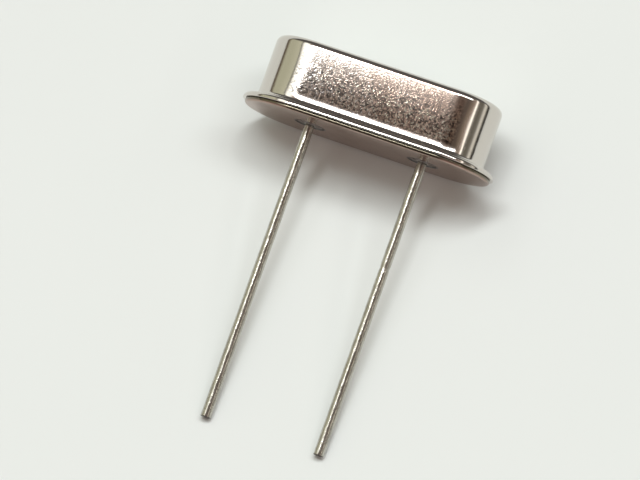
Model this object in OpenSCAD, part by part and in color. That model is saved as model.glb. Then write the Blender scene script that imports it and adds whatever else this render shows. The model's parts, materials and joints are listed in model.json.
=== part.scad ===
// Low-profile quartz crystal unit with two wire leads.
// A drawn metal cover is welded by its flange to a stamped base. Two leads pass through the base in
// glass beads, and inside they carry spring clips that hold a thin quartz strip with metal electrodes.
// The unit is drawn upright: x along its length, z up the can, z = 0 on the underside of the base.
// It is then laid down on its broad side, where it rests on the flange and on the tips of its leads.

/* [Leads] */
// Distance between the centres of the two leads
lead_pitch = 4.88; // [4.4:0.02:5.2]
// Diameter of a tinned lead
lead_d = 0.43; // [0.35:0.01:0.55]
// Length of a lead below the base
lead_len = 12.75; // [6:0.05:20]
// Thickness of the tin coat, which stops at the glass
tin_t = 0.015; // [0.005:0.005:0.03]
// Length over which the tin coat thins out towards the base
tin_runout = 0.7; // [0.6:0.05:1.5]
// Diameter of the flattened head inside the can
head_d = 0.8; // [0.6:0.05:1.1]
// Thickness of the flattened head
head_h = 0.18; // [0.1:0.02:0.3]
// Gap between the top of the base and the head
head_gap = 0.12; // [0.06:0.02:0.3]

/* [Cover] */
// Length of the can above the flange, which grows where the pieces inside need more
can_l = 9.78; // [9.6:0.01:11]
// Width of the can above the flange
can_w = 3.65; // [3.3:0.05:4.2]
// Height from the underside of the base to the top of the can
body_h = 3.12; // [2.8:0.01:4]
// Thickness of the drawn wall and top
wall_t = 0.12; // [0.1:0.01:0.22]
// Thickness of the cover's flange
flange_t = 0.24; // [0.16:0.01:0.3]
// How far the flange stands out from the can
flange_w = 0.53; // [0.42:0.01:0.7]
// Outer radius of the edge round the top
crown_r = 0.31; // [0.22:0.01:0.7]
// Radius of the hollow bend from the wall into the flange
root_r = 0.3; // [0.16:0.02:0.36]
// Rounding of the flange's rim
rim_r = 0.1; // [0.04:0.01:0.14]

/* [Base] */
// Thickness of the base's flange
base_t = 0.18; // [0.14:0.01:0.3]
// How far the base's rim lies inside the cover's rim
base_inset = 0.12; // [0:0.01:0.16]
// Rounding of the base's rim
base_rim_r = 0.08; // [0.02:0.01:0.1]
// Height of the raised platform, from the underside of the base
platform_h = 0.8; // [0.6:0.05:1.1]
// Gap between the platform and the inside of the can
platform_gap = 0.1; // [0.05:0.01:0.2]
// Rounding of the platform's top edge
platform_r = 0.12; // [0.04:0.02:0.2]

/* [Glass seals] */
// Diameter of the hole in the base that a glass bead fills
seal_d = 1.38; // [1.1:0.02:1.6]
// Depth of the hollow in each face of a bead
meniscus = 0.08; // [0.03:0.01:0.15]
// Width of the flat land on both sides of that hollow
land_w = 0.04; // [0.02:0.01:0.08]

/* [Quartz strip] */
// Length of the quartz strip
blank_l = 8; // [7.6:0.05:8.2]
// Width of the quartz strip
blank_w = 1.9; // [1.5:0.05:2.2]
// Thickness of the quartz strip
blank_t = 0.14; // [0.08:0.01:0.25]
// Length of the electrode's field in the middle of the strip
electrode_l = 4.4; // [3:0.1:5]
// Width of the electrode's field
electrode_w = 1.4; // [1:0.05:1.5]
// Width of the tongue from the field to the end of the strip
tongue_w = 1.1; // [0.95:0.05:1.3]
// Length of the pad that folds round the end of the strip
pad_l = 0.9; // [0.5:0.05:1]
// Thickness of the metal film
film_t = 0.02; // [0.01:0.005:0.03]
// Least gap between the strip or its clips and the inside of the can
inside_gap = 0.2; // [0.1:0.02:0.24]

/* [Spring clips] */
// Thickness of the clip's strip
spring_t = 0.08; // [0.05:0.01:0.12]
// Width of the clip's strip
spring_w = 1.2; // [0.95:0.05:1.5]
// Inner radius of the clip's bends
spring_bend_r = 0.08; // [0.04:0.01:0.12]
// Length of the foot, centred on the lead's head
foot_l = 0.8; // [0.6:0.05:0.9]
// Height of the shelf over the top of the lead's head
shelf_rise = 0.6; // [0.5:0.05:0.8]
// Gap between the end of the strip and the start of the clip's last bend
end_gap = 0.03; // [0.01:0.01:0.08]
// Height of the turned-up end over the shelf
stop_h = 0.26; // [0.16:0.02:0.35]
// Radius of the drop of conductive adhesive
glue_r = 0.42; // [0.34:0.02:0.46]

/* [Hidden] */
$fn = 96;

// Which way a left and a right piece lie along x
left = -1;
right = 1;
// Overshoot of a cut past the face that it opens
over = 0.05;
// A rim's rounding takes at most this share of its sheet
rim_share = 0.45;

// Outlines, as distances from the straight spine that runs along the middle of the can
can_r = can_w / 2;
inner_r = can_r - wall_t;
flange_r = can_r + flange_w;
base_r = flange_r - base_inset;
platform_edge = inner_r - platform_gap;
cover_rim_r = min(rim_r, rim_share * flange_t);
lower_rim_r = min(base_rim_r, rim_share * base_t);

// Heights
flange_top = base_t + flange_t;
flare_r = root_r + wall_t;
head_z = platform_h + head_gap;
foot_z = head_z + head_h;
shelf_z = foot_z + shelf_rise;
blank_z = shelf_z + film_t;
blank_top = blank_z + blank_t;

// Leads and seals
lead_x = lead_pitch / 2;
lead_r = lead_d / 2;
wire_r = lead_r - tin_t;
seal_r = seal_d / 2;

// Places along the clips
blank_end = blank_l / 2 + film_t;
riser_x = lead_x + foot_l / 2;
shelf_x = riser_x + 2 * spring_bend_r + spring_t;
stop_x = blank_end + end_gap;
stop_face = stop_x + spring_bend_r;

// Half of the spine that clears a corner of an inner piece, at x along the can and y across it
function spine_past(x, y) = x - sqrt(pow(inner_r - inside_gap, 2) - pow(y, 2));
strip_spine = spine_past(blank_end, blank_w / 2);
clip_spine = spine_past(stop_face + spring_t, spring_w / 2);
spine_l = max(can_l - can_w, 2 * strip_spine, 2 * clip_spine);

// Lying on the table: the slope at which a rim of this radius, set out from the spine and raised
// above the base, and the tip of a lead touch the same plane
function lying_tilt(out, up, r) =
    let (a = out - lead_r, b = lead_len + up) atan2(a, b) + asin(r / norm([a, b]));
tilt_on_cover = lying_tilt(flange_r - cover_rim_r, base_t + cover_rim_r, cover_rim_r);
tilt_on_base = lying_tilt(base_r - lower_rim_r, lower_rim_r, lower_rim_r);
rest_tilt = max(tilt_on_cover, tilt_on_base);
rest_height = lead_r * cos(rest_tilt) + lead_len * sin(rest_tilt);
can_reach = (can_r - crown_r) * sin(rest_tilt) + (body_h - crown_r) * cos(rest_tilt) + crown_r;
lead_reach = lead_r * sin(rest_tilt) + lead_len * cos(rest_tilt);

// Lays the upright unit on its broad side, on the table and centred over its own footprint
module lay_down() {
    translate([0, (lead_reach - can_reach) / 2, rest_height])
        rotate([rest_tilt - 90, 0, 0])
            children();
}

// Sweeps a half section round the can: straight along both sides, turned round both ends
module sweep_round_can() {
    for (flip = [0, 1])
        mirror([0, flip, 0])
            rotate([90, 0, 90])
                linear_extrude(height = spine_l, center = true)
                    children();
    for (side = [left, right])
        translate([side * spine_l / 2, 0, 0])
            rotate([0, 0, -90 * side])
                rotate_extrude(angle = 180)
                    children();
}

// The corner of material that a hollow bend of radius r leaves
module hollow_corner(r) {
    difference() {
        square(r);
        translate([r, r])
            circle(r = r);
    }
}

// Half section of a plate of thickness t and reach r, with its rim rounded by e
module plate_section(r, t, e) {
    square([r - e, t]);
    translate([0, e])
        square([r, t - 2 * e]);
    for (z = [e, t - e])
        translate([r - e, z])
            circle(r = e);
}

// Half section of a block from height 0 to h and reach r, with its top edge rounded by e
module crowned_section(r, h, e) {
    square([r - e, h]);
    square([r, h - e]);
    translate([r - e, h - e])
        circle(r = e);
}

// Half section of the cover: flange, hollow bend, wall and crowned top, less the inside of the can
module cover_section() {
    difference() {
        translate([0, base_t]) {
            crowned_section(can_r, body_h - base_t, crown_r);
            plate_section(flange_r, flange_t, cover_rim_r);
            translate([can_r, flange_t])
                hollow_corner(root_r);
        }
        translate([0, base_t - over])
            crowned_section(inner_r, body_h - base_t - wall_t + over, crown_r - wall_t);
        translate([inner_r, base_t])
            hollow_corner(flare_r);
    }
}

// Drawn cover with its weld flange
module cover() {
    color("#bcb5aa")
        sweep_round_can()
            cover_section();
}

// Stamped base: a flange, and a platform that fills the mouth of the can
module base() {
    color("#9c958a")
        difference() {
            sweep_round_can() {
                plate_section(base_r, base_t, lower_rim_r);
                crowned_section(platform_edge, platform_h, platform_r);
            }
            for (side = [left, right])
                translate([side * lead_x, 0, -over])
                    cylinder(r = seal_r, h = platform_h + 2 * over);
        }
}

// Glass bead between a lead and the base, hollowed at both faces as it wets the metal
module glass_seal(side) {
    ring_mid = (seal_r + wire_r) / 2;
    chord = (seal_r - wire_r) / 2 - land_w;
    hollow_r = (chord * chord + meniscus * meniscus) / (2 * meniscus);
    color("#2e2c30")
        translate([side * lead_x, 0, 0])
            rotate_extrude()
                difference() {
                    translate([wire_r, 0])
                        square([seal_r - wire_r, platform_h]);
                    for (z = [meniscus - hollow_r, platform_h - meniscus + hollow_r])
                        translate([ring_mid, z])
                            circle(r = hollow_r);
                }
}

// Lead wire: tinned below the base, bare in the glass, flattened to a head inside the can.
// The seam of the turned surface faces the table.
module lead(side) {
    color("#b9b5ae")
        translate([side * lead_x, 0, 0])
            rotate([0, 0, 90])
                rotate_extrude()
                    polygon([
                        [0, -lead_len],
                        [lead_r, -lead_len],
                        [lead_r, -tin_runout],
                        [wire_r, 0],
                        [wire_r, head_z],
                        [head_d / 2, head_z],
                        [head_d / 2, foot_z],
                        [0, foot_z]
                    ]);
}

// Quarter of a bend in the clip's strip, in the quadrant given by the signs of qx and qz
module bend(qx, qz) {
    outer = spring_bend_r + spring_t;
    intersection() {
        difference() {
            circle(r = outer);
            circle(r = spring_bend_r);
        }
        translate([qx < 0 ? -outer : 0, qz < 0 ? -outer : 0])
            square(outer);
    }
}

// Side view of a clip: foot, riser, shelf and turned-up stop, joined by round bends
module spring_profile() {
    r = spring_bend_r;
    t = spring_t;
    translate([lead_x - foot_l / 2, foot_z])
        square([foot_l, t]);
    translate([riser_x, foot_z + t + r])
        bend(1, -1);
    translate([riser_x + r, foot_z + t + r])
        square([t, shelf_rise - 2 * t - 2 * r]);
    translate([shelf_x, shelf_z - t - r])
        bend(-1, 1);
    translate([shelf_x, shelf_z - t])
        square([stop_x - shelf_x, t]);
    translate([stop_x, shelf_z + r])
        bend(1, -1);
    translate([stop_face, shelf_z + r])
        square([t, stop_h - r]);
}

// Spring clip, welded by its foot to the head of a lead
module spring(side) {
    color("#c4b793")
        mirror([side == left ? 1 : 0, 0, 0])
            rotate([90, 0, 0])
                linear_extrude(height = spring_w, center = true)
                    spring_profile();
}

// Quartz strip
module quartz_blank() {
    color("#dde4e8")
        translate([-blank_l / 2, -blank_w / 2, blank_z])
            cube([blank_l, blank_w, blank_t]);
}

// Film electrode: a field in the middle, a tongue to one end and a pad folded round that end
module electrode() {
    color("#dcdcdb")
        translate([0, 0, -blank_t / 2]) {
            translate([-electrode_l / 2, -electrode_w / 2, blank_t])
                cube([electrode_l, electrode_w, film_t]);
            translate([0, -tongue_w / 2, blank_t])
                cube([blank_end, tongue_w, film_t]);
            translate([blank_l / 2, -tongue_w / 2, -film_t])
                cube([film_t, tongue_w, blank_t + 2 * film_t]);
            translate([blank_l / 2 - pad_l, -tongue_w / 2, -film_t])
                cube([pad_l + film_t, tongue_w, film_t]);
        }
}

// The upper electrode runs to the right-hand clip
module electrode_upper() {
    translate([0, 0, blank_z + blank_t / 2])
        electrode();
}

// The lower electrode is the same film, turned over, and runs to the left-hand clip
module electrode_lower() {
    translate([0, 0, blank_z + blank_t / 2])
        rotate([0, 180, 0])
            electrode();
}

// Drop of conductive adhesive over the end of the strip, down to the shelf and against the stop
module adhesive(side) {
    color("#8d8d89")
        mirror([side == left ? 1 : 0, 0, 0])
            difference() {
                intersection() {
                    translate([blank_l / 2, 0, shelf_z])
                        sphere(r = glue_r);
                    translate([0, -glue_r - over, shelf_z])
                        cube([stop_face, 2 * (glue_r + over), glue_r + over]);
                }
                translate([-blank_end, -blank_w / 2, shelf_z - over])
                    cube([2 * blank_end, blank_w, blank_t + 2 * film_t + over]);
                spring(right);
            }
}

lay_down() cover();
lay_down() base();
lay_down() glass_seal(left);  // glass_seal_left
lay_down() glass_seal(right);  // glass_seal_right
lay_down() lead(left);  // lead_left
lay_down() lead(right);  // lead_right
lay_down() spring(left);  // spring_left
lay_down() spring(right);  // spring_right
lay_down() quartz_blank();
lay_down() electrode_upper();
lay_down() electrode_lower();
lay_down() adhesive(left);  // adhesive_left
lay_down() adhesive(right);  // adhesive_right
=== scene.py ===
"""Quartz crystal unit on a pale table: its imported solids, given finer meshes and finishes."""
import json
from math import atan2, cos, hypot, pi, radians, sin, tan, tau

import bmesh
import bpy
from mathutils import Matrix, Vector


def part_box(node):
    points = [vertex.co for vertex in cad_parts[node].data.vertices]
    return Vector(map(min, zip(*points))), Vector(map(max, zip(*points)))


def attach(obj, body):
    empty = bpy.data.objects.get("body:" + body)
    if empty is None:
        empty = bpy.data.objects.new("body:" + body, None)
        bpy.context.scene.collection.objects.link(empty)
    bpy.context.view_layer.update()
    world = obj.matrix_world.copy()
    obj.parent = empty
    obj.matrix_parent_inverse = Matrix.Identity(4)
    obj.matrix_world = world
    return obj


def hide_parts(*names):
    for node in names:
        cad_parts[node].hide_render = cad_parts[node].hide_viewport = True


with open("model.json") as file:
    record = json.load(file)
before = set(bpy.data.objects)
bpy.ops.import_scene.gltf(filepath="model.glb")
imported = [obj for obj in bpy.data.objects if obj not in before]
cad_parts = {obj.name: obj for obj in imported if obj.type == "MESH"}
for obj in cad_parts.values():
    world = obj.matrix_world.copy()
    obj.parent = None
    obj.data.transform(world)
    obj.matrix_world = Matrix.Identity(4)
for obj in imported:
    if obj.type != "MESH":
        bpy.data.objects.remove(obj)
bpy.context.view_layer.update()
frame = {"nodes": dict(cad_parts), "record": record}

# Sizes in millimetres and turns in degrees, on the unit as it stands upright on its leads
MM = 0.001
CAN_L = 9.78
CAN_W = 3.65
BODY_H = 3.12
WALL_T = 0.12
FLANGE_T = 0.24
FLANGE_W = 0.53
CROWN_R = 0.31
ROOT_R = 0.2
FLARE_Z = 0.7
FLARE_HALF = 0.1
FLARE_TURN = 11.0
MOUTH_R = 0.42
RIM_UPPER_R = 0.19
RIM_LOWER_R = 0.03
BASE_T = 0.18
BASE_INSET = 0.12
BASE_UPPER_R = 0.06
BASE_LOWER_R = 0.1
PLATFORM_H = 0.8
PLATFORM_GAP = 0.1
PLATFORM_R = 0.12
SEAL_D = 1.38
MENISCUS = 0.08
LAND_W = 0.04
LEAD_D = 0.43
LEAD_CUT_R = 0.02
TIN_T = 0.015
TIN_RUNOUT = 0.7
HEAD_D = 0.8
HEAD_H = 0.18
HEAD_GAP = 0.12

# How far a broad face swells, how far round the ends that goes, and how late it fades
BULGE = 0.03
BULGE_TURN = 26.0
BULGE_POWER = 6

# Waves of the tin coat, and the pinch mark on the right-hand lead
TIN_WAVE = 0.012
TIN_WAVE_L = 0.45
PINCH_Z = -4.61
PINCH_HALF = 0.06
PINCH_SCALE = 0.88

# How finely curves and long runs are divided, and the turn up to which faces shade as one
CROWN_STEPS = 16
BEND_STEPS = 12
EDGE_STEPS = 8
LIP_STEPS = 6
LEAD_CUT_STEPS = 3
END_STEPS = 64
FACE_STEPS = 40
WALL_CUTS = 19
HOLE_STEPS = 64
HOLLOW_STEPS = 14
LEAD_STEPS = 48
LEAD_CUTS = 240
SMOOTH_TURN = 35.0

# Points that are closer than this count as one
NEAR = 1e-4

# Sizes that follow from those above
CAN_R = CAN_W / 2
SPINE_L = CAN_L - CAN_W
SPINE_END = SPINE_L / 2
INNER_R = CAN_R - WALL_T
FACE_LOW = FLARE_Z + FLARE_HALF
FACE_HIGH = BODY_H - CROWN_R
BULGE_REACH = SPINE_END + CAN_R * radians(BULGE_TURN)
FLANGE_R = CAN_R + FLANGE_W
FLANGE_TOP = BASE_T + FLANGE_T
BASE_R = FLANGE_R - BASE_INSET
SEAL_R = SEAL_D / 2
LEAD_R = LEAD_D / 2
WIRE_R = LEAD_R - TIN_T

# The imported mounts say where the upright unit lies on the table
mounts = {mount["name"]: mount for mount in frame["record"]["mounts"]}
SEAT = Vector(mounts["board_face"]["pos_m"])
ALONG = Vector((1, 0, 0))
UP = -Vector(mounts["board_face"]["axis"]).normalized()
TURN = Matrix((ALONG, UP.cross(ALONG), UP)).transposed()
LAY_DOWN = Matrix.Translation(SEAT) @ TURN.to_4x4() @ Matrix.Scale(MM, 4)
LEAD_X = abs(mounts["lead_right"]["pos_m"][0]) / MM
LEAD_TIP = (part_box("lead_left")[0].y - SEAT.y) / UP.y / MM + LEAD_R * abs(UP.z / UP.y)


def out_up(out, up, x):
    """A point of a section at x: its distance out from the long axis of the unit, and its height."""
    return Vector((x, -out, up))


def pull(corners):
    """Pulls the selected vertex on from corner to corner, with an edge behind it."""
    for here, there in zip(corners, corners[1:]):
        bpy.ops.mesh.extrude_region_move(TRANSFORM_OT_translate={"value": there - here})


def new_outline(name, corners):
    """Starts a piece as an open outline, by pulling one vertex from corner to corner."""
    bpy.ops.object.select_all(action="DESELECT")
    bpy.ops.mesh.primitive_plane_add(size=1)
    piece = bpy.context.object
    piece.name = name
    piece.data.name = name
    bpy.ops.object.mode_set(mode="EDIT")
    bpy.ops.mesh.merge(type="CENTER")
    bpy.ops.transform.translate(value=corners[0])
    pull(corners)
    return piece


def pick(piece, test):
    """Selects the vertices whose place passes the test."""
    bpy.ops.mesh.select_all(action="DESELECT")
    shape = bmesh.from_edit_mesh(piece.data)
    for vertex in shape.verts:
        vertex.select = test(vertex.co)
    shape.select_flush_mode()
    bmesh.update_edit_mesh(piece.data)


def round_corner(piece, corner, offset, steps):
    """Rounds one corner of an outline, from that far along both of its edges."""
    pick(piece, lambda place: (place - corner).length < NEAR)
    bpy.ops.mesh.bevel(offset=offset, segments=steps, affect="VERTICES", clamp_overlap=False)


def close_shell():
    """Joins the seams and poles of the shape that is being edited and turns its faces outwards."""
    bpy.ops.mesh.select_all(action="SELECT")
    bpy.ops.mesh.remove_doubles(threshold=NEAR)
    bpy.ops.mesh.normals_make_consistent(inside=False)


def sweep_round_can(end_steps, run_steps):
    """Carries the outline round one end of the can, along it, round the other end and back."""
    bpy.ops.mesh.select_all(action="SELECT")
    for end in (SPINE_END, -SPINE_END):
        bpy.ops.mesh.spin(steps=end_steps, angle=-pi, center=(end, 0, 0), axis=(0, 0, 1))
        stride = Vector((-2 * end / run_steps, 0, 0))
        for _ in range(run_steps):
            bpy.ops.mesh.extrude_region_move(TRANSFORM_OT_translate={"value": stride})
    close_shell()


def turn_about_lead(x, steps):
    """Turns the outline once round the axis of a lead."""
    bpy.ops.mesh.select_all(action="SELECT")
    bpy.ops.mesh.spin(steps=steps, angle=tau, center=(x, 0, 0), axis=(0, 0, 1))
    close_shell()


def weigh(piece, name, weight):
    """Gives each vertex a weight by its place, in a group of that name."""
    group = piece.vertex_groups.new(name=name)
    for vertex in piece.data.vertices:
        share = weight(vertex.co)
        if share > 0:
            group.add([vertex.index], share, "REPLACE")


def push_out(piece, group, depth, texture=None):
    """Moves the weighted part of a piece along its normals, evenly or by a texture."""
    bpy.ops.object.modifier_add(type="DISPLACE")
    swell = piece.modifiers[-1]
    swell.vertex_group = group
    swell.strength = depth
    swell.mid_level = 0.5 if texture else 0.0
    swell.texture = texture
    swell.texture_coords = "LOCAL"
    bpy.ops.object.modifier_apply(modifier=swell.name)
    piece.vertex_groups.clear()


def take(piece):
    """Makes one piece the only one selected."""
    bpy.ops.object.select_all(action="DESELECT")
    piece.select_set(True)
    bpy.context.view_layer.objects.active = piece


def copy_across(piece, name):
    """Copies a left-hand piece, with its own mesh, to the right-hand lead's place."""
    take(piece)
    bpy.ops.object.duplicate(linked=False)
    copy = bpy.context.object
    copy.name = name
    copy.data.name = name
    bpy.ops.transform.translate(value=(2 * LEAD_X, 0, 0))
    bpy.ops.object.transform_apply(location=True, rotation=False, scale=False)
    return copy


def put_in_place(piece, node, material):
    """Lays the upright piece on the table in place of its solid, and gives it its finish."""
    take(piece)
    piece.matrix_world = LAY_DOWN
    bpy.ops.object.transform_apply(location=True, rotation=True, scale=True)
    bpy.ops.object.shade_smooth_by_angle(angle=radians(SMOOTH_TURN))
    piece.data.materials.clear()
    piece.data.materials.append(material)
    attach(piece, "root")
    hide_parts(node)


def on_wall_line(place):
    """Whether a point of the cover's outline lies on the straight stretch of its outer wall."""
    return abs(place.y + CAN_R) < NEAR and FACE_LOW - NEAR < place.z < FACE_HIGH + NEAR


def bulge_share(place):
    """Share of the bulge: whole in the middle of a broad face, fading to its edges and round its ends."""
    past_end = max(0, abs(place.x) - SPINE_END)
    if abs(hypot(past_end, place.y) - CAN_R) > NEAR:
        return 0
    along = min(abs(place.x), SPINE_END) + CAN_R * atan2(past_end, abs(place.y))
    across = (2 * place.z - FACE_LOW - FACE_HIGH) / (FACE_HIGH - FACE_LOW)
    return max(0, 1 - (along / BULGE_REACH) ** BULGE_POWER) * max(0, 1 - across ** 2)


def draw_cover():
    """Drawn cover: one sheet with a rounded crown, a slightly swollen wall and a bend into its flange."""
    x = SPINE_END
    inner_top = BODY_H - WALL_T
    flare_out = (FLARE_Z - FLANGE_TOP) * tan(radians(FLARE_TURN))
    shoulder = out_up(CAN_R, BODY_H, x)
    flare = out_up(CAN_R, FLARE_Z, x)
    root = out_up(CAN_R + flare_out, FLANGE_TOP, x)
    rim_upper = out_up(FLANGE_R, FLANGE_TOP, x)
    rim_lower = out_up(FLANGE_R, BASE_T, x)
    mouth = out_up(INNER_R, BASE_T, x)
    inner_shoulder = out_up(INNER_R, inner_top, x)
    piece = new_outline("drawn_cover", [
        out_up(0, BODY_H, x), shoulder, flare, root, rim_upper, rim_lower, mouth, inner_shoulder,
        out_up(0, inner_top, x)])
    round_corner(piece, shoulder, CROWN_R, CROWN_STEPS)
    round_corner(piece, flare, FLARE_HALF, BEND_STEPS)
    round_corner(piece, root, ROOT_R * tan(radians((90 - FLARE_TURN) / 2)), BEND_STEPS)
    round_corner(piece, rim_upper, RIM_UPPER_R, BEND_STEPS)
    round_corner(piece, rim_lower, RIM_LOWER_R, LIP_STEPS)
    round_corner(piece, mouth, MOUTH_R, EDGE_STEPS)
    round_corner(piece, inner_shoulder, CROWN_R - WALL_T, EDGE_STEPS)
    pick(piece, on_wall_line)
    bpy.ops.mesh.subdivide(number_cuts=WALL_CUTS)
    sweep_round_can(end_steps=END_STEPS, run_steps=FACE_STEPS)
    bpy.ops.object.mode_set(mode="OBJECT")
    weigh(piece, "broad_faces", bulge_share)
    push_out(piece, "broad_faces", BULGE)
    return piece


def stamp_base():
    """Stamped base: a flange and a raised platform, with a hole for each glass bead."""
    x = SPINE_END
    platform_edge = INNER_R - PLATFORM_GAP
    punch_l = 3 * PLATFORM_H
    rim_lower = out_up(BASE_R, 0, x)
    rim_upper = out_up(BASE_R, BASE_T, x)
    shoulder = out_up(platform_edge, PLATFORM_H, x)
    piece = new_outline("stamped_base", [
        out_up(0, 0, x), rim_lower, rim_upper, out_up(platform_edge, BASE_T, x), shoulder,
        out_up(0, PLATFORM_H, x)])
    round_corner(piece, rim_lower, BASE_LOWER_R, EDGE_STEPS)
    round_corner(piece, rim_upper, BASE_UPPER_R, EDGE_STEPS)
    round_corner(piece, shoulder, PLATFORM_R, EDGE_STEPS)
    sweep_round_can(end_steps=END_STEPS, run_steps=1)
    bpy.ops.object.mode_set(mode="OBJECT")
    for hole_x in (-LEAD_X, LEAD_X):
        bpy.ops.mesh.primitive_cylinder_add(
            vertices=HOLE_STEPS, radius=SEAL_R, depth=punch_l, location=(hole_x, 0, 0))
        punch = bpy.context.object
        take(piece)
        bpy.ops.object.modifier_add(type="BOOLEAN")
        cut = piece.modifiers[-1]
        cut.operation = "DIFFERENCE"
        cut.object = punch
        bpy.ops.object.modifier_apply(modifier=cut.name)
        bpy.data.objects.remove(punch)
    return piece


def melt_bead():
    """Left-hand glass bead: each of its faces sinks in a hollow ring between two flat lands."""
    x = -LEAD_X
    half_chord = (SEAL_R - WIRE_R) / 2 - LAND_W
    hollow_r = (half_chord ** 2 + MENISCUS ** 2) / (2 * MENISCUS)
    hollow_turn = 2 * atan2(half_chord, hollow_r - MENISCUS)
    middle = (SEAL_R + WIRE_R) / 2
    lower_centre = out_up(middle, MENISCUS - hollow_r, x)
    upper_centre = out_up(middle, PLATFORM_H - MENISCUS + hollow_r, x)
    inner_land, outer_land = WIRE_R + LAND_W, SEAL_R - LAND_W
    piece = new_outline("glass_bead_left", [out_up(WIRE_R, 0, x), out_up(inner_land, 0, x)])
    bpy.ops.mesh.spin(steps=HOLLOW_STEPS, angle=-hollow_turn, center=lower_centre, axis=ALONG)
    pull([
        out_up(outer_land, 0, x), out_up(SEAL_R, 0, x), out_up(SEAL_R, PLATFORM_H, x),
        out_up(outer_land, PLATFORM_H, x)])
    bpy.ops.mesh.spin(steps=HOLLOW_STEPS, angle=-hollow_turn, center=upper_centre, axis=ALONG)
    pull([out_up(inner_land, PLATFORM_H, x), out_up(WIRE_R, PLATFORM_H, x), out_up(WIRE_R, 0, x)])
    turn_about_lead(x, HOLE_STEPS)
    bpy.ops.object.mode_set(mode="OBJECT")
    return piece


def draw_lead():
    """Left-hand wire with a cut end, a run-out of the tin at the base and a flattened head inside."""
    x = -LEAD_X
    head_low = PLATFORM_H + HEAD_GAP
    head_high = head_low + HEAD_H
    cut_edge = out_up(LEAD_R, LEAD_TIP, x)
    piece = new_outline("tinned_lead_left", [
        out_up(0, LEAD_TIP, x), cut_edge, out_up(LEAD_R, -TIN_RUNOUT, x), out_up(WIRE_R, 0, x),
        out_up(WIRE_R, head_low, x), out_up(HEAD_D / 2, head_low, x),
        out_up(HEAD_D / 2, head_high, x), out_up(0, head_high, x)])
    round_corner(piece, cut_edge, LEAD_CUT_R, LEAD_CUT_STEPS)
    pick(piece, lambda place: abs(place.y + LEAD_R) < NEAR)
    bpy.ops.mesh.subdivide(number_cuts=LEAD_CUTS)
    turn_about_lead(x, LEAD_STEPS)
    bpy.ops.object.mode_set(mode="OBJECT")
    return piece


def pinch(piece):
    """Nips the right-hand lead where a tool has held it."""
    take(piece)
    bpy.ops.object.mode_set(mode="EDIT")
    pick(piece, lambda place: abs(place.z - PINCH_Z) < PINCH_HALF)
    bpy.ops.transform.resize(
        value=(PINCH_SCALE, PINCH_SCALE, 1), center_override=(LEAD_X, 0, PINCH_Z))
    bpy.ops.object.mode_set(mode="OBJECT")


def roughen_tin(piece, x, waves):
    """Gives the tin coat its own slow waves along one lead."""
    take(piece)
    axis = Vector((x, 0))
    core_r = 0.6 * LEAD_R

    def coat(place):
        return 1.0 if place.z < -TIN_RUNOUT and (place.xy - axis).length > core_r else 0

    weigh(piece, "tin", coat)
    push_out(piece, "tin", TIN_WAVE, waves)


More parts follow.
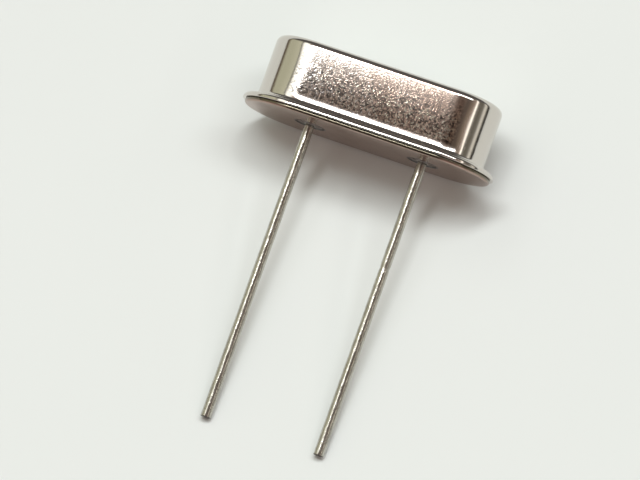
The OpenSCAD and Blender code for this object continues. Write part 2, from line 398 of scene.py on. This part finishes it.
class Channel:
    """A shader socket that takes part in arithmetic; node() adds any other node beside it."""

    # Places of the colour sockets on a Mix node, which share their names with others there
    MIX_FIRST, MIX_SECOND, MIX_RESULT = 6, 7, 2

    def __init__(self, tree, socket=None):
        self.tree = tree
        self.socket = socket

    def node(self, kind, settings=None, sockets=None, output=0):
        """Adds a node, with its settings first and then its sockets, and gives one of its outputs."""
        made = self.tree.nodes.new(kind)
        for name, value in (settings or {}).items():
            if name == "stops":
                ramp = made.color_ramp.elements
                while len(ramp) < len(value):
                    ramp.new(1.0)
                for stop, (place, shade) in zip(ramp, value):
                    stop.position = place
                    stop.color = colour(*shade)
            else:
                setattr(made, name, value)
        for name, value in (sockets or {}).items():
            if isinstance(value, Channel):
                self.tree.links.new(value.socket, made.inputs[name])
            else:
                made.inputs[name].default_value = value
        return Channel(self.tree, made.outputs[output] if made.outputs else None)

    def math(self, operation, *values):
        """Adds a Math node on the values."""
        return self.node("ShaderNodeMath", {"operation": operation}, dict(enumerate(values)))

    def __add__(self, other):
        return self.math("ADD", self, other)

    def __radd__(self, other):
        return self.math("ADD", other, self)

    def __sub__(self, other):
        return self.math("SUBTRACT", self, other)

    def __rsub__(self, other):
        return self.math("SUBTRACT", other, self)

    def __mul__(self, other):
        return self.math("MULTIPLY", self, other)

    def __rmul__(self, other):
        return self.math("MULTIPLY", other, self)

    def __truediv__(self, other):
        return self.math("DIVIDE", self, other)

    def __rtruediv__(self, other):
        return self.math("DIVIDE", other, self)

    def size(self):
        """The value without its sign."""
        return self.math("ABSOLUTE", self)

    def rise(self, low, high, start=0.0, end=1.0):
        """Goes smoothly from start to end as the value goes from low to high."""
        return self.node("ShaderNodeMapRange", {"interpolation_type": "SMOOTHSTEP"}, {
            "Value": self, "From Min": low, "From Max": high, "To Min": start, "To Max": end})

    def fall(self, low, high, end=0.0):
        """Goes smoothly from 1 to the end as the value goes from low to high."""
        return self.rise(low, high, 1.0, end)

    def blend(self, first, second):
        """Mixes two colours, with this value as the share of the second."""
        return self.node("ShaderNodeMix", {"data_type": "RGBA"}, {
            "Factor": self, self.MIX_FIRST: first, self.MIX_SECOND: second}, self.MIX_RESULT)

    def parts(self):
        """The three parts of a vector."""
        split = self.node("ShaderNodeSeparateXYZ", None, {"Vector": self})
        outputs = split.socket.node.outputs
        return [Channel(self.tree, outputs[axis]) for axis in "XYZ"]

    def noise(self, scale, detail=2.0, roughness=0.6):
        """Soft noise, with that many features to a unit of length."""
        return self.node("ShaderNodeTexNoise", None, {
            "Vector": self, "Scale": scale, "Detail": detail, "Roughness": roughness})

    def cells(self, scale):
        """A value that jumps at random from one small cell to the next."""
        tints = self.node("ShaderNodeTexVoronoi", None, {"Vector": self, "Scale": scale}, "Color")
        return tints.parts()[0]

    def dimmed(self, share):
        """The same colour, multiplied by a share."""
        return self.node("ShaderNodeVectorMath", {"operation": "SCALE"}, {0: self, "Scale": share})

    def stretched(self, scale):
        """The same place, scaled by its own factor along each axis."""
        return self.node("ShaderNodeVectorMath", {"operation": "MULTIPLY"}, {0: self, 1: scale})


def colour(*parts):
    """A full colour from its red, green and blue."""
    return (*parts, 1.0)


def new_material(name):
    """A new material with no surface yet, and the place on its piece in metres."""
    material = bpy.data.materials.new(name)
    material.use_nodes = True
    material.node_tree.nodes.clear()
    return material, Channel(material.node_tree).node("ShaderNodeTexCoord", output="Object")


def new_finish(name):
    """A new material for the unit, with the place on it as it stands upright, in millimetres."""
    material, place = new_material(name)
    upright = place.node("ShaderNodeMapping", {"vector_type": "TEXTURE"}, {
        "Vector": place, "Location": SEAT, "Rotation": TURN.to_euler(), "Scale": (MM, MM, MM)})
    return material, upright


def finish(upright, sockets, relief=None, relief_depth=0.0):
    """Ends a material in one surface shader, with an optional relief in millimetres."""
    if relief:
        sockets["Normal"] = upright.node("ShaderNodeBump", None, {
            "Height": relief, "Distance": relief_depth * MM, "Strength": 1.0})
    surface = upright.node("ShaderNodeBsdfPrincipled", None, sockets)
    upright.node("ShaderNodeOutputMaterial", None, {"Surface": surface})


def cover_nickel():
    """Nickel plate: grainy on the broad faces, with painted glints among its specks, and bright round the
    ends, the bends and the flange.
    """
    material, place = new_finish("cover_nickel")
    x, y, z = place.parts()

    # The grain, its specks and their painted glints keep to the broad faces and thin out towards the
    # crown
    end_fade = (SPINE_END + 0.25, SPINE_END + 0.55)
    foot_fade = (FACE_LOW - 0.15, FACE_LOW + 0.1)
    crown_fade = (FACE_HIGH, FACE_HIGH + 0.15)
    depth_fade = (CAN_R - 0.1, CAN_R - 0.05)
    grain_fade = (1.6, 2.7)
    flat = x.size().fall(*end_fade) * z.rise(*foot_fade) * z.fall(*crown_fade)
    flat = flat * y.size().rise(*depth_fade)
    grain = place.noise(15.0)
    grain_part = z.fall(*grain_fade, 0.4) * flat
    speck_and_glint_part = z.fall(*grain_fade, 0.15) * flat

    # The plate is warmer towards the right, with slow stains, upright streaks and specks: the darker
    # specks are grain, the brighter ones painted glints
    cool, warm = colour(0.66, 0.62, 0.575), colour(0.66, 0.535, 0.455)
    stain = place.noise(0.8, 3.0).rise(0.3, 0.7, -0.2, 0.2)
    warmth = (x.rise(-4.6, 2.0) + stain) * flat
    # Cells of random tone: the darker ones are grain, the brighter ones, up to about twice the plate's
    # colour, are painted glints
    specks_and_painted_glints = place.cells(16.0) * 1.9 - 0.92
    streaks = place.stretched((9.0, 9.0, 0.9)).noise(1.0).rise(0.3, 0.7, 0.15, -0.15)
    tone = warmth.blend(cool, warm).dimmed(specks_and_painted_glints * speck_and_glint_part + streaks * flat + 1.0)

    # Short upright hairs fringe the bright strip at the foot of the faces
    fringe_z = FACE_LOW + 0.06
    fringe = z.rise(fringe_z - 0.11, fringe_z) * z.fall(fringe_z, fringe_z + 0.16)
    hairs = (place.stretched((14.0, 14.0, 2.0)).noise(1.0) - 0.5) * fringe * 0.6
    finish(place, {
        "Base Color": tone,
        "Metallic": 1.0,
        "Roughness": grain * 0.03 + 0.115,
    }, grain * grain_part + hairs, 0.0045)
    return material


def base_nickel():
    """Nickel plate on the stamping, darker and duller than the cover, with its cut edge darker still as a
    painted dark reflection.
    """
    material, place = new_finish("base_nickel")
    z = place.parts()[2]
    clean, stained = colour(0.43, 0.315, 0.265), colour(0.355, 0.255, 0.21)
    edge_painted_dark_reflection = colour(0.17, 0.15, 0.11)
    grain = place.noise(9.0, 3.0)
    stain = place.noise(1.1, 3.0).rise(0.35, 0.7)
    # The cut edge is painted dark olive: a painted reflection of the dark front of the room
    cut_edge = z.rise(0.02, 0.11) * z.fall(BASE_T, BASE_T + 0.05)
    finish(place, {
        "Base Color": cut_edge.blend(stain.blend(clean, stained), edge_painted_dark_reflection),
        "Metallic": 1.0,
        "Roughness": grain * 0.12 + 0.16,
    }, grain, 0.0015)
    return material


def seal_glass():
    """Dark sealing glass with faint clouds under a glossy skin, and painted shade darkening its rim where
    it meets the base.
    """
    material, place = new_finish("seal_glass")
    x, y, _ = place.parts()
    dark, pale = colour(0.12, 0.095, 0.085), colour(0.17, 0.14, 0.125)
    rim_painted_shade = colour(0.012, 0.01, 0.01)
    across = x.size() - LEAD_X
    reach = across.math("SQRT", across * across + y * y)
    # Painted shade: the glass turns near black towards its rim, against the hole in the base
    rim = reach.rise(SEAL_R - 0.16, SEAL_R - 0.05)
    cloud = place.noise(3.0, 3.0).rise(0.3, 0.7)
    finish(place, {
        "Base Color": rim.blend(cloud.blend(dark, pale), rim_painted_shade),
        "Roughness": cloud * 0.1 + 0.08,
        "IOR": 1.52,
    }, place.noise(6.0, 2.0, 0.5), 0.002)
    return material


def tinned_wire():
    """Tin coat, uneven along the wire, with dull patches and painted shade on its cut end."""
    material, place = new_finish("tinned_wire")
    z = place.parts()[2]
    bright, dulled = colour(0.52, 0.5, 0.445), colour(0.43, 0.41, 0.365)
    # The cut end face is painted near black, as painted shade
    tip_painted_shade = colour(0.07, 0.06, 0.055)
    waves = place.stretched((1.0, 1.0, 0.25)).noise(6.0, 2.0, 0.55)
    pits = place.stretched((1.0, 1.0, 0.5)).noise(24.0)
    dull = place.noise(2.5, 3.0).rise(0.4, 0.65)
    coated = z.rise(LEAD_TIP + 0.01, LEAD_TIP + 0.05)
    finish(place, {
        "Base Color": coated.blend(tip_painted_shade, dull.blend(bright, dulled)),
        "Metallic": 0.9,
        "Roughness": dull * 0.1 + 0.15,
    }, waves + pits * 0.3, 0.012)
    return material


def spring_metal():
    """Rolled strip with fine marks along it."""
    material, place = new_finish("spring_metal")
    marks = place.stretched((1.0, 30.0, 1.0)).noise(3.0)
    finish(place, {
        "Base Color": marks.blend(colour(0.68, 0.62, 0.5), colour(0.6, 0.54, 0.43)),
        "Metallic": 1.0,
        "Roughness": marks * 0.15 + 0.2,
    }, marks, 0.001)
    return material


def quartz():
    """Lapped quartz, frosted by its fine grain."""
    material, place = new_finish("quartz")
    frost = place.noise(24.0)
    finish(place, {
        "Base Color": frost.blend(colour(0.86, 0.89, 0.91), colour(0.8, 0.84, 0.87)),
        "Roughness": frost * 0.2 + 0.3,
        "IOR": 1.55,
        "Transmission Weight": 0.6,
    }, frost, 0.001)
    return material


def electrode_film():
    """Evaporated silver, faintly mottled."""
    material, place = new_finish("electrode_film")
    mottle = place.noise(4.0, 3.0)
    finish(place, {
        "Base Color": mottle.blend(colour(0.87, 0.87, 0.86), colour(0.8, 0.79, 0.77)),
        "Metallic": 1.0,
        "Roughness": mottle * 0.15 + 0.12,
    })
    return material


def conductive_adhesive():
    """Silver-filled adhesive, a dull grey paste with flakes."""
    material, place = new_finish("conductive_adhesive")
    flakes = place.noise(30.0, 2.0, 0.7)
    paste, silver = colour(0.4, 0.4, 0.39), colour(0.55, 0.55, 0.54)
    finish(place, {
        "Base Color": flakes.rise(0.45, 0.6).blend(paste, silver),
        "Metallic": 0.4,
        "Roughness": flakes * 0.2 + 0.4,
    }, flakes, 0.006)
    return material


def dress_unit():
    """Puts the fine meshes over the solids that show, and finishes those that are sealed inside."""
    put_in_place(draw_cover(), "cover", cover_nickel())
    put_in_place(stamp_base(), "base", base_nickel())
    tin_waves = bpy.data.textures.new("tin_waves", "CLOUDS")
    tin_waves.noise_scale = TIN_WAVE_L
    tin_waves.noise_depth = 1
    bead, lead = melt_bead(), draw_lead()
    right_bead = copy_across(bead, "glass_bead_right")
    right_lead = copy_across(lead, "tinned_lead_right")
    pinch(right_lead)
    roughen_tin(lead, -LEAD_X, tin_waves)
    roughen_tin(right_lead, LEAD_X, tin_waves)
    glass, wire = seal_glass(), tinned_wire()
    put_in_place(bead, "glass_seal_left", glass)
    put_in_place(right_bead, "glass_seal_right", glass)
    put_in_place(lead, "lead_left", wire)
    put_in_place(right_lead, "lead_right", wire)
    sealed = {
        spring_metal(): ("spring_left", "spring_right"),
        quartz(): ("quartz_blank",),
        electrode_film(): ("electrode_upper", "electrode_lower"),
        conductive_adhesive(): ("adhesive_left", "adhesive_right"),
    }
    for material, names in sealed.items():
        for name in names:
            solid = frame["nodes"][name]
            solid.data.materials.clear()
            solid.data.materials.append(material)


# Camera and studio, in metres on the table
FLOOR_HALF = 2.0
VIEW_AZIMUTH = radians(23.103)
VIEW_ELEVATION = radians(71.835)
VIEW_ROLL = radians(-3.338)
VIEW_DISTANCE = 0.25
VIEW_AIM = Vector((-0.0006184, 0.0007231, 0.0002978))
PIXELS_PER_MM = 24.386
IMAGE_WIDTH = 640
SENSOR_WIDTH = 36.0
CLIP_START = 0.01
LAMP_TINT = (0.985, 1.0, 1.0)
KEY_PLACE = Vector((-0.454, 0.705, 2.87))
KEY_SIZE = (1.85, 0.41)
KEY_SLANT = radians(43.5)
KEY_POWER = 50.0
FILL_PLACE = Vector((1.0, 1.05, 2.55))
FILL_SIZE = (1.35, 0.6)
FILL_POWER = 19.0


def lay_floor():
    """Pale card, a little uneven in tone."""
    bpy.ops.object.select_all(action="DESELECT")
    bpy.ops.mesh.primitive_plane_add(size=2 * FLOOR_HALF)
    floor = bpy.context.object
    floor.name = "floor"
    material, place = new_material("pale_card")
    cloud = place.noise(60.0, 2.0, 0.5)
    surface = place.node("ShaderNodeBsdfDiffuse", None, {
        "Color": cloud.blend(colour(0.765, 0.81, 0.795), colour(0.75, 0.795, 0.78))})
    place.node("ShaderNodeOutputMaterial", None, {"Surface": surface})
    floor.data.materials.append(material)


def hang_light(name, place, size, slant, power):
    """A flat light that faces the unit, with its long side turned by the slant."""
    lamp = bpy.data.lights.new(name, "AREA")
    lamp.shape = "RECTANGLE"
    lamp.size, lamp.size_y = size
    lamp.energy = power
    lamp.color = LAMP_TINT
    light = bpy.data.objects.new(name, lamp)
    bpy.context.scene.collection.objects.link(light)
    back = place.normalized()
    across = back.cross(Vector((cos(slant), sin(slant), 0))).normalized()
    axes = Matrix((across.cross(back), across, back)).transposed()
    light.matrix_world = Matrix.Translation(place) @ axes.to_4x4()


def build_room():
    """A dim studio: bands of light to the left and right, brown overhead, grey behind, rosy in front."""
    world = bpy.data.worlds.new("studio")
    bpy.context.scene.world = world
    world.use_nodes = True
    world.node_tree.nodes.clear()
    way = Channel(world.node_tree).node("ShaderNodeTexCoord", output="Generated")
    x, y, z = way.parts()

    # Shades from the left horizon at 0, over the top at 0.5, to the right horizon at 1
    lean = x.math("ARCTAN2", x, z) / pi
    sides = lean.node("ShaderNodeValToRGB", {"stops": [
        (0.0, (0.1, 0.07, 0.045)),
        (0.03, (0.12, 0.085, 0.055)),
        (0.06, (0.58, 0.58, 0.43)),
        (0.15, (0.58, 0.58, 0.43)),
        (0.248, (0.7, 0.7, 0.53)),
        (0.257, (0.06, 0.055, 0.045)),
        (0.266, (0.06, 0.055, 0.045)),
        (0.276, (1.1, 1.1, 1.0)),
        (0.3, (1.8, 1.8, 1.7)),
        (0.365, (1.6, 1.6, 1.5)),
        (0.39, (0.75, 0.63, 0.54)),
        (0.43, (0.42, 0.34, 0.29)),
        (0.453, (0.11, 0.083, 0.07)),
        (0.48, (0.08, 0.06, 0.05)),
        (0.55, (0.09, 0.065, 0.052)),
        (0.67, (0.11, 0.08, 0.06)),
        (0.765, (0.38, 0.29, 0.23)),
        (0.774, (2.5, 2.4, 2.2)),
        (0.785, (2.5, 2.4, 2.2)),
        (0.795, (0.2, 0.18, 0.15)),
        (0.85, (0.16, 0.145, 0.12)),
        (0.89, (0.24, 0.225, 0.19)),
        (0.92, (0.95, 0.92, 0.82)),
        (0.945, (0.8, 0.77, 0.68)),
        (0.96, (0.02, 0.018, 0.015)),
    ]}, {"Fac": lean + 0.5})
    overhead = y.rise(-0.05, 0.4) * lean.size().fall(0.08, 0.16)
    top = overhead.blend(sides, colour(0.24, 0.155, 0.115))
    rear = y.rise(0.5, 0.62).blend(top, colour(0.12, 0.112, 0.108))

    # The front is dark in the middle and rosy on both sides of that
    beside = (x + 0.12).size().rise(0.12, 0.3)
    front = beside.blend(colour(0.02, 0.018, 0.016), colour(0.49, 0.365, 0.35))
    room = y.fall(-0.5, -0.15).blend(rear, front)
    glow = room.node("ShaderNodeBackground", None, {"Color": room, "Strength": 1.0})
    room.node("ShaderNodeOutputWorld", None, {"Surface": glow})


def set_camera():
    """A long lens from above, a little to the front and the right."""
    lens = bpy.data.cameras.new("camera")
    lens.sensor_width = SENSOR_WIDTH
    lens.lens = SENSOR_WIDTH * VIEW_DISTANCE / MM * PIXELS_PER_MM / IMAGE_WIDTH
    lens.clip_start = CLIP_START
    camera = bpy.data.objects.new("camera", lens)
    bpy.context.scene.collection.objects.link(camera)
    level = VIEW_DISTANCE * cos(VIEW_ELEVATION)
    height = VIEW_DISTANCE * sin(VIEW_ELEVATION)
    offset = Vector((level * sin(VIEW_AZIMUTH), -level * cos(VIEW_AZIMUTH), height))
    aim = (-offset).to_track_quat("-Z", "Y").to_matrix()
    rolled = aim @ Matrix.Rotation(VIEW_ROLL, 3, "Z")
    camera.matrix_world = Matrix.Translation(VIEW_AIM + offset) @ rolled.to_4x4()
    bpy.context.scene.camera = camera


dress_unit()
lay_floor()
hang_light("key_light", KEY_PLACE, KEY_SIZE, KEY_SLANT, KEY_POWER)
hang_light("fill_light", FILL_PLACE, FILL_SIZE, 0.0, FILL_POWER)
build_room()
set_camera()
bpy.context.scene.view_settings.view_transform = "Standard"
